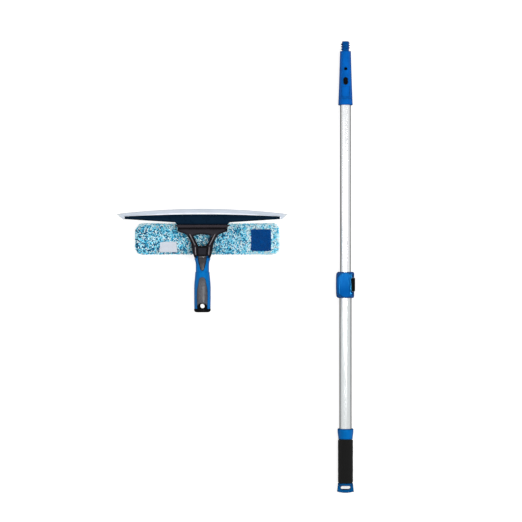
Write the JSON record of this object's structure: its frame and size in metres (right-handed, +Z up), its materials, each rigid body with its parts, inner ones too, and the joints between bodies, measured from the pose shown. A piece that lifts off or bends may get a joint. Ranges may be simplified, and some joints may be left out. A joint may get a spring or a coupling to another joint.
{
  "type": "window cleaning squeegee",
  "caption": "Window squeegee with a bowed rubber blade, a microfibre scrubber behind it and a blue and black handle, laid beside its telescopic locking pole.",
  "frame": {"origin": "centre of the kit's box, on the surface it lies on", "axes": "+Y up the handle and along the pole to its threaded tip, +X from the squeegee to the pole, +Z up from the surface"},
  "size_m": [0.497, 0.9446, 0.0555],
  "materials": {
    "black_plastic": "fine-grained black moulding",
    "blue_grip": "satin blue soft-touch overmould",
    "grey_grip": "satin dark grey soft-touch rubber",
    "yoke_plastic": "satin brown-black glass-filled plastic",
    "navy_plastic": "semi-gloss navy plastic",
    "white_plastic": "white plastic",
    "blade_rubber": "smooth lilac-grey rubber",
    "microfibre": "looped microfibre pile in white, cyan and blue",
    "scourer": "deep blue non-woven abrasive",
    "label_cloth": "plain pale woven label",
    "tube_alloy": "satin anodised",
    "foam": "matte closed-cell foam",
    "blue_plastic": "semi-gloss blue moulding",
    "button_plastic": "black moulding",
    "zinc_steel": "bright zinc-plated steel"
  },
  "bodies": {
    "head": {"handle_core": "black_plastic", "handle_shell": "blue_grip", "grip_panels": "grey_grip", "thumb_pads": "grey_grip", "end_ring": "black_plastic", "yoke": "yoke_plastic", "button_coil": "zinc_steel", "blade_clip": "yoke_plastic", "bow_channel": "navy_plastic", "blade_spine": "white_plastic", "scrubber_bar": "black_plastic", "stem_screws": "zinc_steel", "scrubber_sleeve": "microfibre", "scouring_pad": "scourer", "care_label": "label_cloth"},
    "release_button": {"release_button": "yoke_plastic"},
    "blade": {"rubber_blade": "blade_rubber"},
    "pole": {"outer_tube": "tube_alloy", "foam_grip": "foam", "grip_collar": "blue_plastic", "end_cap": "blue_plastic", "end_cap_pin": "zinc_steel", "clamp_body": "blue_plastic", "clamp_rivet": "zinc_steel", "lever_pin": "zinc_steel"},
    "lever": {"clamp_lever": "black_plastic"},
    "shoe": {"clamp_shoe": "white_plastic"},
    "inner_pole": {"inner_tube": "tube_alloy", "glide_bush": "white_plastic", "locking_cone": "blue_plastic", "threaded_tip": "blue_plastic", "cone_rivet": "zinc_steel", "lock_coil": "zinc_steel"},
    "lock_button": {"lock_button": "button_plastic"}
  },
  "joints": [
    {"name": "pole_lift", "type": "slide", "parent": "head", "child": "pole", "axis": [0, 0, 1], "range_m": [0, 0.15]},
    {"name": "tube_telescope", "type": "slide", "parent": "pole", "child": "inner_pole", "axis": [0, 1, 0], "range_m": [-0.345, 0.035]},
    {"name": "clamp_lever_swing", "type": "hinge", "parent": "pole", "child": "lever", "pos_m": [0.2425, -0.03725, 0.03], "axis": [0, -1, 0], "range_deg": [0, 105]},
    {"name": "clamp_shoe_press", "type": "slide", "parent": "pole", "child": "shoe", "axis": [1, 0, 0], "range_m": [0, 0.0004]},
    {"name": "lock_button_press", "type": "slide", "parent": "inner_pole", "child": "lock_button", "axis": [0, 0, -1], "range_m": [0, 0.0025], "stiffness_N_per_m": 900, "springref_m": -0.002, "deforming": ["lock_coil"]},
    {"name": "release_button_press", "type": "slide", "parent": "head", "child": "release_button", "axis": [0, 0, -1], "range_m": [0, 0.002], "stiffness_N_per_m": 900, "springref_m": -0.002, "deforming": ["button_coil"]},
    {"name": "blade_change", "type": "hinge", "parent": "head", "child": "blade", "pos_m": [-0.0707, -1.19883, -0.4304], "axis": [0, -0.342, 0.9397], "range_deg": [0, 14.2]}
  ],
  "couplings": [
    {"joint": "clamp_shoe_press", "follows": "clamp_lever_swing", "m_per_rad": 0.0002074}
  ]
}
